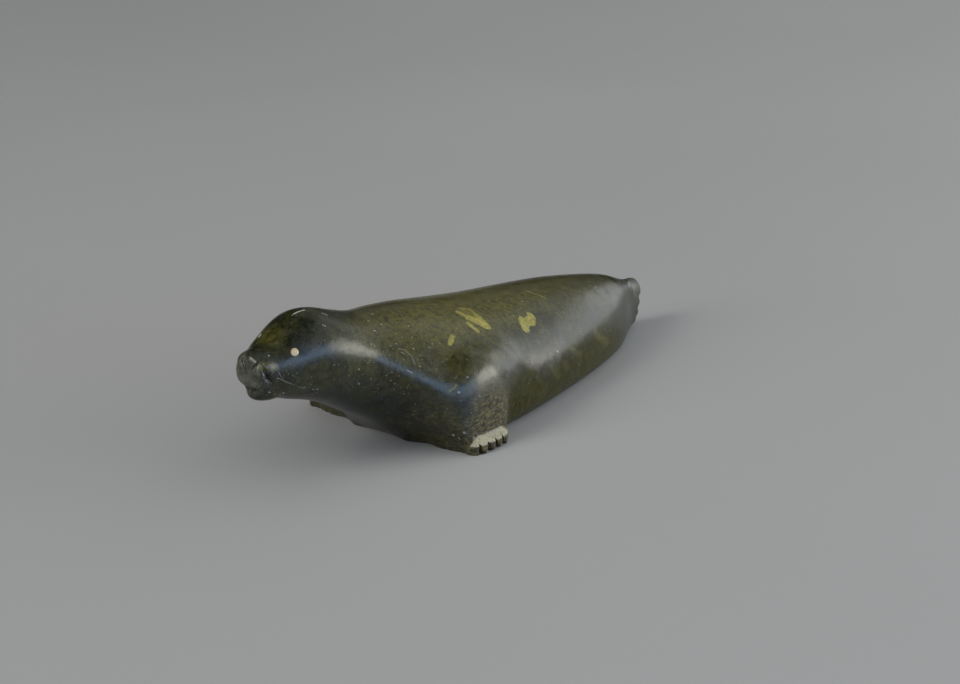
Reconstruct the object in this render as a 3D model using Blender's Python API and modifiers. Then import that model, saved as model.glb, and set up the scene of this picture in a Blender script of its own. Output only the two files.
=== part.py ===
"""A small seal carved from one piece of dark green stone, with two eyes inlaid in bone.

The seal lies on its belly with its head held low and forward. Its nose points along -X, its left side
faces -Y and it rests on Z = 0. The origin is in the middle of the footprint. Units are metres.

A carver draws a seal on the block as a side view and a plan view, and this file does the same. The back,
the under side and the half-width are smooth lines through landmarks, each placed by its distance from
the tip of the nose. Lumps are then added for the breast, the arms, the shoulders and the muzzle,
everything is melted together and rubbed smooth, and the crisp details are cut last, as a carver would.
"""

import math

import bmesh
import bpy
import numpy as np
from mathutils import Matrix, Vector
from mathutils.bvhtree import BVHTree

MM = 0.001

# Landmarks: distances from the tip of the nose, in millimetres. Behind the arms they follow the length.
LENGTH = 146.5
MUZZLE_AT = 2.5
BROW_AT = 6.5
CROWN_AT = 16.5
NAPE_AT = 29.5
BREAST_AT = 36.5
SHOULDER_AT = 43.5
ARMPIT_AT = 52.0
MIDBACK_AT = 0.461 * LENGTH
LOIN_AT = 0.659 * LENGTH
RUMP_AT = 0.85 * LENGTH
HIP_AT = 0.898 * LENGTH
FIN_ROOT_AT = LENGTH - 8.0
FIN_WAIST_AT = LENGTH - 4.7

# The origin is above the middle of the finished figure. Rubbing takes this much off the end of the fin.
FIN_WEAR = 0.7
MIDDLE_AT = (LENGTH - FIN_WEAR) / 2

# Each end of the trunk is rounded over this length.
NOSE_ROUND = 5.0
TAIL_ROUND = 2.0

# Height of the back line, from nose to tail.
BACK_LINE = (
    (0.0, 29.5),
    (MUZZLE_AT, 31.4),
    (BROW_AT, 33.8),
    (CROWN_AT, 37.3),
    (NAPE_AT, 33.2),
    (SHOULDER_AT, 31.6),
    (MIDBACK_AT, 28.0),
    (LOIN_AT, 24.2),
    (RUMP_AT, 19.4),
    (HIP_AT, 17.6),
    (FIN_ROOT_AT, 14.8),
    (FIN_WAIST_AT, 14.1),
    (LENGTH, 14.4),
)
# Height of the under line. The belly dips below the table line and is ground flat afterwards.
UNDER_LINE = (
    (0.0, 24.0),
    (MUZZLE_AT, 22.8),
    (BROW_AT, 19.6),
    (CROWN_AT, 16.2),
    (NAPE_AT, 9.2),
    (BREAST_AT, 5.0),
    (SHOULDER_AT, -0.2),
    (ARMPIT_AT, -3.5),
    (RUMP_AT, -3.5),
    (FIN_ROOT_AT, -1.0),
    (LENGTH, 0.8),
)
# Half-width, from the middle plane to the side.
WIDTH_LINE = (
    (0.0, 4.0),
    (MUZZLE_AT, 4.8),
    (BROW_AT, 6.4),
    (CROWN_AT, 9.6),
    (NAPE_AT, 12.4),
    (BREAST_AT, 17.6),
    (SHOULDER_AT, 22.0),
    (ARMPIT_AT, 22.8),
    (MIDBACK_AT, 22.2),
    (LOIN_AT, 18.0),
    (RUMP_AT, 10.7),
    (FIN_ROOT_AT, 4.1),
    (FIN_WAIST_AT, 2.5),
    (LENGTH, 3.4),
)
# Where the widest point of each section is, as a share of its height.
GIRTH_LINE = (
    (0.0, 0.50),
    (CROWN_AT, 0.50),
    (NAPE_AT, 0.57),
    (BREAST_AT, 0.50),
    (SHOULDER_AT, 0.42),
    (MIDBACK_AT, 0.40),
    (LENGTH, 0.45),
)
# Squareness of the upper half of each section: 2 is an ellipse, more is boxier, less is more pointed.
UPPER_SQUARE = (
    (0.0, 2.0),
    (CROWN_AT, 2.0),
    (BREAST_AT, 1.55),
    (SHOULDER_AT, 1.65),
    (MIDBACK_AT, 1.9),
    (RUMP_AT, 1.9),
    (FIN_ROOT_AT, 2.4),
    (LENGTH, 3.0),
)
# The same for the lower half.
LOWER_SQUARE = (
    (0.0, 2.0),
    (CROWN_AT, 2.2),
    (BREAST_AT, 1.9),
    (SHOULDER_AT, 4.0),
    (MIDBACK_AT, 3.4),
    (LENGTH, 3.0),
)

# Lumps: (distance from the nose, out from the middle, height), (half-length, half-width, half-height),
# squareness and pitch in degrees, nose up.
BRISKET = ((52.0, 0.0, 2.0), (7.2, 25.0, 5.0), 8.0, 0)
ARM = ((52.2, 14.4, 6.5), (11.0, 10.8, 16.5), 3.2, 4)
SHOULDER_BLADE = ((61.5, 12.0, 12.5), (14.0, 11.6, 11.0), 2.0, 8)
WHISKER_PAD = ((3.0, 1.9, 26.8), (3.1, 3.1, 4.1), 2.5, 0)
NOSE = ((3.7, 0.0, 29.4), (3.6, 3.0, 2.4), 2.2, 15)
JAW = ((7.6, 0.0, 22.4), (7.0, 4.5, 2.6), 2.0, -8)

# The fore flipper is a thin slab under the arm, bevelled along its top edge.
FLIPPER_AT = (44.3, 60.4)
FLIPPER_REACH = 27.2
FLIPPER_THICK = 3.4
FLIPPER_FRONT_ROUND = 4.0
FLIPPER_BACK_ROUND = 6.5
FLIPPER_BEVEL = 1.3

# The eyes are pegs of bone in drilled holes, each set square to the skin.
EYE_SPOT = (8.6, 6.0, 30.8)
EYE_RADIUS = 0.9
EYE_LENGTH = 2.0
EYE_PROUD = 0.1
EYE_GAP = 0.25
# The hollow that each eye lies in.
EYE_SOCKET = ((8.2, 9.0, 32.0), (4.6, 3.0, 3.6), 2.0, 0)

# Grooves, each by its way points (distance from the nose, out, height) and its width.
NOSTRIL = (((1.3, 2.5, 29.8), (0.8, 1.7, 28.7), (0.4, 0.9, 27.4)), 0.9)
CHEEK_CREASE = (((1.2, 3.7, 29.4), (1.2, 4.4, 27.8), (1.7, 4.8, 26.2), (3.0, 5.0, 24.6)), 1.4)
MOUTH = (((3.4, 5.0, 24.4), (1.4, 3.2, 23.3), (0.9, 0.0, 22.9), (1.4, -3.2, 23.3), (3.4, -5.0, 24.4)), 1.0)
GROOVE_STEPS = 5

# Notches between the claws: distances from the nose along each fore flipper, and their size.
CLAW_NOTCHES_AT = (46.8, 49.6, 52.4, 55.1)
CLAW_NOTCH_WIDTH = 1.2
CLAW_NOTCH_HEIGHT = 2.2
CLAW_NOTCH_DEPTH = 1.4

# The tail fin leans: its foot ends this much nearer the nose than its top. Notches mark its claws.
FIN_HEIGHT = 13.0
FIN_LEAN = 2.8
FIN_NOTCH_HEIGHTS = (8.4, 5.6, 2.9)
FIN_NOTCH_WIDTH = 1.3
FIN_NOTCH_INSET = 0.7

# Points around a section, rings in each rounded end and the spacing of the rings between.
POINTS_AROUND = 64
CAP_RINGS = 6
RING_SPACING = 2.0
LUMP_SEGMENTS = 48

# The two melts, of the trunk and then of the muzzle: cell size in millimetres and rounds of rubbing.
TRUNK_CELL = 0.8
TRUNK_RUBS = 20
MUZZLE_CELL = 0.55
MUZZLE_RUBS = 7
# The share of the triangles that is kept after the melts.
KEEP_SHARE = 0.08

STONE = (0.030, 0.038, 0.022, 1.0)
BONE = (0.78, 0.72, 0.56, 1.0)


def along(line, at):
    """Value at a distance along a smooth line through landmarks, which has no overshoot between them."""
    x = np.array([mark[0] for mark in line])
    y = np.array([mark[1] for mark in line])
    step = np.diff(x)
    slope = np.diff(y) / step
    tangent = np.zeros(len(x))
    tangent[0] = slope[0]
    tangent[-1] = slope[-1]
    for i in range(1, len(x) - 1):
        if slope[i - 1] * slope[i] > 0:
            after = 2 * step[i] + step[i - 1]
            before = step[i] + 2 * step[i - 1]
            tangent[i] = (after + before) / (after / slope[i - 1] + before / slope[i])
    i = int(np.clip(np.searchsorted(x, at) - 1, 0, len(x) - 2))
    t = (at - x[i]) / step[i]
    start = y[i] * (1 + 2 * t) * (1 - t) ** 2 + tangent[i] * step[i] * t * (1 - t) ** 2
    end = y[i + 1] * t * t * (3 - 2 * t) + tangent[i + 1] * step[i] * t * t * (t - 1)
    return float(start + end)


def end_shrink(at):
    """How much a section near either end is drawn in, so that the end is round."""
    if at < NOSE_ROUND:
        return math.sqrt(max(0.0, 1 - (1 - at / NOSE_ROUND) ** 2))
    if at > LENGTH - TAIL_ROUND:
        return math.sqrt(max(0.0, 1 - (1 - (LENGTH - at) / TAIL_ROUND) ** 2))
    return 1.0


def section_point(at, angle):
    """The surface point of one section, at an angle from the seal's right."""
    top = along(BACK_LINE, at)
    under = along(UNDER_LINE, at)
    half = along(WIDTH_LINE, at)
    girth = under + along(GIRTH_LINE, at) * (top - under)
    upper = math.sin(angle) > 0
    tall = top - girth if upper else girth - under
    square = along(UPPER_SQUARE if upper else LOWER_SQUARE, at)
    across = abs(math.cos(angle)) / half
    up = abs(math.sin(angle)) / tall
    reach = (across**square + up**square) ** (-1 / square) * end_shrink(at)
    return Vector((at - MIDDLE_AT, math.cos(angle) * reach, girth + math.sin(angle) * reach))


def ring_distances():
    """Distances of the rings from the nose: close together in the rounded ends."""
    share = [1 - math.cos(0.5 * math.pi * i / CAP_RINGS) for i in range(1, CAP_RINGS + 1)]
    nose = [NOSE_ROUND * s for s in share]
    tail = [LENGTH - TAIL_ROUND * s for s in reversed(share)]
    count = round((tail[0] - nose[-1]) / RING_SPACING)
    middle = [nose[-1] + (tail[0] - nose[-1]) * i / count for i in range(1, count)]
    return nose + middle + tail


def add_object(name, bm, collection):
    """Make an object from a bmesh whose coordinates are in millimetres."""
    bmesh.ops.recalc_face_normals(bm, faces=bm.faces)
    bmesh.ops.scale(bm, vec=(MM, MM, MM), verts=bm.verts)
    mesh = bpy.data.meshes.new(name)
    bm.to_mesh(mesh)
    bm.free()
    made = bpy.data.objects.new(name, mesh)
    collection.objects.link(made)
    return made


def make_trunk(collection):
    """The head, body and tail in one: a sphere whose rings take the shape of the seal's sections."""
    rings = ring_distances()
    bm = bmesh.new()
    bmesh.ops.create_uvsphere(bm, u_segments=POINTS_AROUND, v_segments=len(rings) + 1, radius=1.0)
    for vertex in bm.verts:
        polar = math.acos(max(-1.0, min(1.0, vertex.co.z)))
        ring = round(polar / math.pi * (len(rings) + 1))
        at = ([0.0] + rings + [LENGTH])[ring]
        vertex.co = section_point(at, math.atan2(vertex.co.y, vertex.co.x))
    return add_object("trunk", bm, collection)


def make_lump(name, lump, side, collection):
    """A rounded lump on the given side, from a sphere that is pushed towards a box by its squareness."""
    (at, out, height), radii, square, pitch = lump
    bm = bmesh.new()
    bmesh.ops.create_uvsphere(bm, u_segments=LUMP_SEGMENTS, v_segments=LUMP_SEGMENTS // 2, radius=1.0)
    turn = Matrix.Rotation(math.radians(pitch), 3, "Y")
    for vertex in bm.verts:
        length = sum(abs(c) ** square for c in vertex.co) ** (1 / square)
        spot = Vector([c / length * r for c, r in zip(vertex.co, radii)])
        vertex.co = turn @ spot + Vector((at - MIDDLE_AT, side * out, height))
    return add_object(name, bm, collection)


def bake(thing):
    """Bake the modifiers of an object into its mesh."""
    graph = bpy.context.evaluated_depsgraph_get()
    baked = bpy.data.meshes.new_from_object(thing.evaluated_get(graph))
    thing.modifiers.clear()
    thing.data = baked


def melt(pieces, name, cell, rounds):
    """Melt overlapping pieces into one skin and rub it smooth."""
    bpy.ops.object.select_all(action="DESELECT")
    for piece in pieces:
        piece.select_set(True)
    bpy.context.view_layer.objects.active = pieces[0]
    bpy.ops.object.join()
    body = bpy.context.view_layer.objects.active
    body.name = name
    remesh = body.modifiers.new("Melt", "REMESH")
    remesh.mode = "VOXEL"
    remesh.voxel_size = cell * MM
    rub = body.modifiers.new("Rub", "SMOOTH")
    rub.factor = 0.5
    rub.iterations = round(rounds)
    bake(body)
    return body


def thin_out(body, share):
    """Keep only a share of the triangles, most of them where the skin curves."""
    thin = body.modifiers.new("Thin", "DECIMATE")
    thin.ratio = share
    bake(body)


def make_flipper(side, collection):
    """A fore flipper: a rounded slab whose top outer edge is bevelled."""
    front, back = FLIPPER_AT
    inner = FLIPPER_REACH - 14
    bm = bmesh.new()
    bmesh.ops.create_cube(bm, size=1.0)
    for vertex in bm.verts:
        vertex.co.x = (front if vertex.co.x < 0 else back) - MIDDLE_AT
        vertex.co.y = side * (FLIPPER_REACH if vertex.co.y * side > 0 else inner)
        vertex.co.z = FLIPPER_THICK if vertex.co.z > 0 else -1.5
    for forward, offset in ((True, FLIPPER_FRONT_ROUND), (False, FLIPPER_BACK_ROUND)):
        line = (front if forward else back) - MIDDLE_AT
        outer = [e for e in bm.edges if all(abs(v.co.y) > inner + 8 for v in e.verts)]
        corner = [e for e in outer if all(abs(v.co.x - line) < 0.01 for v in e.verts)]
        bmesh.ops.bevel(bm, geom=corner, offset=offset, segments=6, profile=0.5, affect="EDGES")
    top = [e for e in bm.edges if all(v.co.z > 0 for v in e.verts)]
    rim = [e for e in top if len([f for f in e.link_faces if abs(f.normal.z) > 0.9]) < 2]
    rim = [e for e in rim if max(abs(v.co.y) for v in e.verts) > inner + 1]
    bmesh.ops.bevel(bm, geom=rim, offset=FLIPPER_BEVEL, segments=1, affect="EDGES")
    return add_object("flipper", bm, collection)


def combine(body, tool, operation, cutters):
    """Join a tool to the body, or cut the body with it, and keep the tool out of sight."""
    for old in list(tool.users_collection):
        old.objects.unlink(tool)
    cutters.objects.link(tool)
    tool.hide_render = True
    tool.display_type = "WIRE"
    step = body.modifiers.new(tool.name, "BOOLEAN")
    step.operation = operation
    step.solver = "EXACT"
    step.object = tool


def make_box(name, low, high, collection):
    """A plain box between two corners."""
    bm = bmesh.new()
    bmesh.ops.create_cube(bm, size=1.0)
    for vertex in bm.verts:
        for axis in range(3):
            vertex.co[axis] = low[axis] if vertex.co[axis] < 0 else high[axis]
    return add_object(name, bm, collection)


def way_points(spots, side):
    """Points along the straight legs between the given spots, in part coordinates."""
    points = []
    for start, end in zip(spots, spots[1:]):
        for step in range(GROOVE_STEPS):
            share = step / GROOVE_STEPS
            points.append(Vector(start).lerp(Vector(end), share))
    points.append(Vector(spots[-1]))
    return [Vector((p.x - MIDDLE_AT, side * p.y, p.z)) * MM for p in points]


def make_groove(name, groove, side, skin, collection):
    """A worm that lies half sunk in the skin, for cutting a groove that fades out at both ends."""
    spots, width = groove
    points = way_points(spots, side)
    curve = bpy.data.curves.new(name, "CURVE")
    curve.dimensions = "3D"
    curve.bevel_depth = width * MM / 2
    curve.bevel_resolution = 2
    curve.use_fill_caps = True
    spline = curve.splines.new("POLY")
    spline.points.add(len(points) - 1)
    last = len(points) - 1
    for i, point in enumerate(points):
        spline.points[i].co = (*skin.find_nearest(point)[0], 1.0)
        spline.points[i].radius = min(1.0, 0.4 + 2.4 * min(i, last - i) / last)
    worm = bpy.data.objects.new(name, curve)
    collection.objects.link(worm)
    graph = bpy.context.evaluated_depsgraph_get()
    mesh = bpy.data.meshes.new_from_object(worm.evaluated_get(graph))
    bpy.data.objects.remove(worm)
    solid = bpy.data.objects.new(name, mesh)
    collection.objects.link(solid)
    return solid


def make_rod(name, radius, low, high, foot, direction, collection, rounding=0.0, segments=24):
    """A round rod along a direction, from low to high as measured from its foot point."""
    bm = bmesh.new()
    bmesh.ops.create_cone(
        bm, cap_ends=True, segments=segments, radius1=radius, radius2=radius, depth=high - low
    )
    bmesh.ops.translate(bm, vec=(0, 0, (high + low) / 2), verts=bm.verts)
    if rounding > 0:
        rim = [e for e in bm.edges if all(abs(v.co.z - high) < 1e-4 for v in e.verts)]
        bmesh.ops.bevel(bm, geom=rim, offset=rounding, segments=2, profile=0.5, affect="EDGES")
    bmesh.ops.rotate(bm, matrix=direction.to_track_quat("Z", "Y").to_matrix(), verts=bm.verts)
    bmesh.ops.translate(bm, vec=foot, verts=bm.verts)
    return add_object(name, bm, collection)


def cut_eyes(body, skin, parts, cutters):
    """Drill both eye holes and set a peg in each."""
    at, out, height = EYE_SPOT
    for side, name in ((-1, "left_eye"), (1, "right_eye")):
        near = Vector((at - MIDDLE_AT, side * out, height)) * MM
        foot, outward = skin.find_nearest(near)[:2]
        foot = foot / MM
        reach = EYE_LENGTH + EYE_GAP
        hole = make_rod(name + "_hole", EYE_RADIUS + EYE_GAP, -reach, 2.0, foot, outward, parts)
        combine(body, hole, "DIFFERENCE", cutters)
        peg = make_rod(name, EYE_RADIUS, -EYE_LENGTH, EYE_PROUD, foot, outward, parts, rounding=0.2)
        finish(peg, "bone", BONE, 0.35)


def cut_claws(body, side, parts, cutters):
    """Notch the edge of a fore flipper between its claws."""
    for at in CLAW_NOTCHES_AT:
        foot = Vector((at - MIDDLE_AT, side * (FLIPPER_REACH - CLAW_NOTCH_DEPTH), 0.0))
        outward = Vector((0, side, 0))
        radius = CLAW_NOTCH_WIDTH / 2
        rod = make_rod("claw_notch", radius, 0.0, 4.0, foot, outward, parts, segments=12)
        for vertex in rod.data.vertices:
            vertex.co.z *= CLAW_NOTCH_HEIGHT / radius
        combine(body, rod, "DIFFERENCE", cutters)


def fin_edge(height):
    """Where the trailing edge of the fin is at a height, along X."""
    return LENGTH - MIDDLE_AT - FIN_LEAN * (1 - height / FIN_HEIGHT)


def trim_fin(body, parts, cutters):
    """Trim the tail fin on a slant."""
    low = (0, -FIN_HEIGHT, -FIN_HEIGHT / 2)
    high = (FIN_HEIGHT, FIN_HEIGHT, 2 * FIN_HEIGHT)
    block = make_box("fin_trim", low, high, parts)
    for vertex in block.data.vertices:
        vertex.co.x += fin_edge(vertex.co.z / MM) * MM
    combine(body, block, "DIFFERENCE", cutters)


def notch_fin(body, parts, cutters):
    """Notch the edge of the tail fin between the claws of the hind flippers."""
    across = Vector((0, 1, 0))
    radius = FIN_NOTCH_WIDTH / 2
    for height in FIN_NOTCH_HEIGHTS:
        inner = fin_edge(height) - FIN_NOTCH_INSET
        foot = Vector((inner, -FIN_HEIGHT / 2, height))
        rod = make_rod("fin_notch", radius, 0.0, FIN_HEIGHT, foot, across, parts, segments=10)
        for vertex in rod.data.vertices:
            if vertex.co.x > inner * MM:
                vertex.co.x += FIN_LEAN * MM
        combine(body, rod, "DIFFERENCE", cutters)


def finish(thing, name, colour, roughness):
    """Give an object its own material and smooth shading with crisp edges."""
    stuff = bpy.data.materials.new(thing.name + "_" + name)
    stuff.use_nodes = True
    shader = stuff.node_tree.nodes["Principled BSDF"]
    shader.inputs["Base Color"].default_value = colour
    shader.inputs["Roughness"].default_value = roughness
    shader.inputs["Metallic"].default_value = 0.0
    stuff.diffuse_color = colour
    thing.data.materials.clear()
    thing.data.materials.append(stuff)
    thing.data.shade_smooth()
    thing.data.set_sharp_from_angle(angle=math.radians(40))


def make_body(parts, cutters):
    """Melt the trunk, breast, arms and shoulders, sink the eye sockets, then melt on the muzzle."""
    pieces = [make_trunk(parts), make_lump("brisket", BRISKET, 1, parts)]
    for side in (-1, 1):
        pieces.append(make_lump("arm", ARM, side, parts))
        pieces.append(make_lump("shoulder_blade", SHOULDER_BLADE, side, parts))
    body = melt(pieces, "seal_body", TRUNK_CELL, TRUNK_RUBS)
    for side in (-1, 1):
        combine(body, make_lump("eye_socket", EYE_SOCKET, side, parts), "DIFFERENCE", cutters)
    trim_fin(body, parts, cutters)
    bake(body)
    pieces = [body, make_lump("nose", NOSE, 1, parts), make_lump("jaw", JAW, 1, parts)]
    for side in (-1, 1):
        pieces.append(make_lump("whisker_pad", WHISKER_PAD, side, parts))
    body = melt(pieces, "seal_body", MUZZLE_CELL, MUZZLE_RUBS)
    thin_out(body, KEEP_SHARE)
    return body


def main():
    """Make the seal and its eyes."""
    for thing in list(bpy.data.objects):
        bpy.data.objects.remove(thing)
    parts = bpy.data.collections.new("seal_figurine")
    cutters = bpy.data.collections.new("cutters")
    bpy.context.scene.collection.children.link(parts)
    bpy.context.scene.collection.children.link(cutters)
    body = make_body(parts, cutters)
    skin = BVHTree.FromObject(body, bpy.context.evaluated_depsgraph_get())
    for side in (-1, 1):
        combine(body, make_flipper(side, parts), "UNION", cutters)
    table = make_box("table", (-LENGTH, -LENGTH, -LENGTH / 4), (LENGTH, LENGTH, 0), parts)
    combine(body, table, "DIFFERENCE", cutters)
    for side in (-1, 1):
        cut_claws(body, side, parts, cutters)
        combine(body, make_groove("nostril", NOSTRIL, side, skin, parts), "DIFFERENCE", cutters)
        combine(body, make_groove("crease", CHEEK_CREASE, side, skin, parts), "DIFFERENCE", cutters)
    combine(body, make_groove("mouth", MOUTH, 1, skin, parts), "DIFFERENCE", cutters)
    notch_fin(body, parts, cutters)
    cut_eyes(body, skin, parts, cutters)
    finish(body, "stone", STONE, 0.3)


main()
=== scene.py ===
"""A small seal carved in dark green stone, with inlaid bone eyes, in a plain studio.

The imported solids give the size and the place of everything. The body is worked over as a carver would:
the drilled eye holes are stopped, the skin is rubbed smooth, and the nostrils, the mouth, the claws and
the eye seats are cut again, crisp. The eyes are turned pegs of bone. Lengths are in metres, with the nose
towards -X and the seal's left side towards -Y. Places on the seal are given in millimetres as a carver
would take them: how far back from the nose, how far out from the middle, and how high.
"""

from __future__ import annotations

import logging
import math
from dataclasses import dataclass
from enum import Enum
from typing import Sequence

import bmesh
import bpy
import numpy as np
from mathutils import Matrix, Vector

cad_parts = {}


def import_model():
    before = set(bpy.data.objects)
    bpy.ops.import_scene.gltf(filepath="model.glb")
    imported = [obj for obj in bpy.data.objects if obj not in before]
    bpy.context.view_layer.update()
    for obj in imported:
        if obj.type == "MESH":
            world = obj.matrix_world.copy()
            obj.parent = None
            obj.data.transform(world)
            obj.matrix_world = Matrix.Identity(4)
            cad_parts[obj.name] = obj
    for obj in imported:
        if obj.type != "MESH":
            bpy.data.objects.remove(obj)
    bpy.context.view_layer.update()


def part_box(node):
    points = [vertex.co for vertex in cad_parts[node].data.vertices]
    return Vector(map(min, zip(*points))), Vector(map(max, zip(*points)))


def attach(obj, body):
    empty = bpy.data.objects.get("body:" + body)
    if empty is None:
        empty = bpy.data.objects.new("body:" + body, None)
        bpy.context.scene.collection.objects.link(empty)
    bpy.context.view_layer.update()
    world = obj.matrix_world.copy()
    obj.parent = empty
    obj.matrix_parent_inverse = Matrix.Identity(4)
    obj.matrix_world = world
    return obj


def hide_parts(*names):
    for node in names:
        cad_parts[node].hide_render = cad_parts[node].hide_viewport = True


LOG = logging.getLogger("seal")

MM = 0.001
NOSE_TO_MIDDLE = 72.9
MERGE_DISTANCE = 0.001 * MM
FACING = 0.9

Place = tuple[float, float, float]
Colour = tuple[float, float, float, float]
Socket = bpy.types.NodeSocket


class Side(Enum):
    """The two sides of the seal, by the sign of their Y."""

    LEFT = -1
    RIGHT = 1


def spot(place: Place, side: Side = Side.RIGHT) -> Vector:
    """Turn a place on the seal into scene coordinates.

    Args:
        place: Distance back from the nose, out from the middle and up, in millimetres.
        side: The side that "out" is counted towards.

    Returns:
        The point in metres.
    """
    back, out, up = place
    return Vector((back - NOSE_TO_MIDDLE, side.value * out, up)) * MM


def drop_selection() -> None:
    """Deselect every object."""
    for thing in bpy.context.selected_objects:
        thing.select_set(False)


def take_up(thing: bpy.types.Object) -> None:
    """Make one object the only selected and the active one.

    Args:
        thing: The object.
    """
    drop_selection()
    thing.select_set(True)
    bpy.context.view_layer.objects.active = thing


def settle(thing: bpy.types.Object) -> None:
    """Put an object's place, turn and size into its mesh."""
    take_up(thing)
    bpy.ops.object.transform_apply(location=True, rotation=True, scale=True)


def apply_all(thing: bpy.types.Object) -> None:
    """Apply every modifier of an object, in order.

    Args:
        thing: The object.
    """
    take_up(thing)
    for step in list(thing.modifiers):
        bpy.ops.object.modifier_apply(modifier=step.name)


def ease(share: float) -> float:
    """Ease a share in and out between 0 and 1."""
    share = min(1.0, max(0.0, share))
    return share * share * (3.0 - 2.0 * share)


def heading(azimuth: float, elevation: float) -> Vector:
    """Find the direction from the seal to something that stands around it.

    Args:
        azimuth: Its direction in degrees, 0 towards -Y and 90 towards +X.
        elevation: Its height in degrees.

    Returns:
        The direction, one metre long.
    """
    turn, tilt = math.radians(azimuth), math.radians(elevation)
    return Vector((math.sin(turn) * math.cos(tilt), -math.cos(turn) * math.cos(tilt), math.sin(tilt)))


def triangles(thing: bpy.types.Object) -> int:
    """Count the triangles of a mesh object."""
    thing.data.calc_loop_triangles()
    return len(thing.data.loop_triangles)


class Sheet:
    """Short calls that lay out the nodes of one material.

    Attributes:
        material: The material.
        tree: Its node tree.
        shader: Its surface shader.
        normal: The direction that the skin faces, on the object's own axes.
        place: The place on the object, in millimetres.
        half: The same place with the left half folded onto the right one.
    """

    def __init__(self, name: str) -> None:
        """Start a material whose patterns are measured in millimetres.

        Args:
            name: The material's name.
        """
        self.material = bpy.data.materials.new(name)
        self.material.use_nodes = True
        self.tree = self.material.node_tree
        self.shader = self.tree.nodes["Principled BSDF"]
        source = self.add("ShaderNodeTexCoord")
        self.normal = source.outputs["Normal"]
        self.place = self.vector("SCALE", source.outputs["Object"], scale=1000.0)
        self.half = self.folded()

    def add(self, kind: str) -> bpy.types.Node:
        """Add a node of a kind."""
        return self.tree.nodes.new(kind)

    def feed(self, socket: Socket, value: object) -> None:
        """Link a socket to an input, or write a plain value into it.

        Args:
            socket: The input.
            value: A socket or a plain value.
        """
        if isinstance(value, bpy.types.NodeSocket):
            self.tree.links.new(value, socket)
        else:
            socket.default_value = value

    def math(self, operation: str, *values: object, clamp: bool = False) -> Socket:
        """Combine numbers.

        Args:
            operation: The Math node's operation.
            values: Its inputs, sockets or numbers.
            clamp: Whether the result is kept between 0 and 1.

        Returns:
            The result's socket.
        """
        node = self.add("ShaderNodeMath")
        node.operation = operation
        node.use_clamp = clamp
        for socket, value in zip(node.inputs, values):
            self.feed(socket, value)
        return node.outputs[0]

    def vector(self, operation: str, *values: object, scale: object = None) -> Socket:
        """Combine vectors.

        Args:
            operation: The Vector Math node's operation.
            values: Its vector inputs.
            scale: Its factor, for SCALE.

        Returns:
            The result's socket, a number for DOT_PRODUCT and LENGTH.
        """
        node = self.add("ShaderNodeVectorMath")
        node.operation = operation
        for socket, value in zip(node.inputs, values):
            self.feed(socket, value)
        if scale is not None:
            self.feed(node.inputs["Scale"], scale)
        return node.outputs["Value" if operation in ("DOT_PRODUCT", "LENGTH") else "Vector"]

    def folded(self) -> Socket:
        """Fold the place's left half onto the right one.

        Returns:
            The folded place's socket.
        """
        parts = self.add("ShaderNodeSeparateXYZ")
        self.feed(parts.inputs["Vector"], self.place)
        whole = self.add("ShaderNodeCombineXYZ")
        self.feed(whole.inputs["X"], parts.outputs["X"])
        self.feed(whole.inputs["Y"], self.math("ABSOLUTE", parts.outputs["Y"]))
        self.feed(whole.inputs["Z"], parts.outputs["Z"])
        return whole.outputs["Vector"]

    def fade(
        self, value: Socket, low: object, high: object, start: float = 0.0, end: float = 1.0
    ) -> Socket:
        """Fade from one number to another while a value goes from low to high.

        Args:
            value: The value.
            low: Where the fade starts.
            high: Where the fade ends.
            start: The number at the low end and below.
            end: The number at the high end and above.

        Returns:
            The faded number's socket.
        """
        node = self.add("ShaderNodeMapRange")
        node.interpolation_type = "SMOOTHSTEP"
        for name, number in (("Value", value), ("From Min", low), ("From Max", high)):
            self.feed(node.inputs[name], number)
        node.inputs["To Min"].default_value = start
        node.inputs["To Max"].default_value = end
        return node.outputs["Result"]

    def noise(
        self,
        scale: float,
        detail: float = 2.0,
        rough: float = 0.5,
        stretch: Place | None = None,
        shift: float = 0.0,
    ) -> Socket:
        """Cloudy noise.

        Args:
            scale: Its scale, in features per millimetre.
            detail: How many finer layers are added.
            rough: How strong the finer layers are.
            stretch: Factors along X, Y and Z, for streaks.
            shift: Moves the pattern to a part of the noise of its own.

        Returns:
            The noise's number socket.
        """
        node = self.add("ShaderNodeTexNoise")
        node.inputs["Scale"].default_value = scale
        node.inputs["Detail"].default_value = detail
        node.inputs["Roughness"].default_value = rough
        place = self.place
        if stretch is not None or shift:
            place = self.mapping(shift, stretch or (1.0, 1.0, 1.0), (0.0, 0.0, 0.0))
        self.feed(node.inputs["Vector"], place)
        return node.outputs[0]

    def mapping(self, shift: float, stretch: Place, turn: Place) -> Socket:
        """Move, stretch and turn the space of a pattern.

        Args:
            shift: Moves the pattern to a place of its own.
            stretch: Factors along X, Y and Z.
            turn: Turns about X, Y and Z, in degrees.

        Returns:
            The mapped place's socket.
        """
        node = self.add("ShaderNodeMapping")
        self.feed(node.inputs["Vector"], self.place)
        node.inputs["Location"].default_value = (shift, shift * 0.7, -shift)
        node.inputs["Rotation"].default_value = [math.radians(angle) for angle in turn]
        node.inputs["Scale"].default_value = stretch
        return node.outputs["Vector"]

    def mix(self, share: object, first: object, second: object) -> Socket:
        """Mix two colours.

        Args:
            share: The share of the second colour.
            first: The first colour.
            second: The second colour.

        Returns:
            The mixed colour's socket.
        """
        node = self.add("ShaderNodeMix")
        node.data_type = "RGBA"
        self.feed(node.inputs["Factor"], share)
        self.feed(node.inputs[6], first)
        self.feed(node.inputs[7], second)
        return node.outputs[2]

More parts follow.
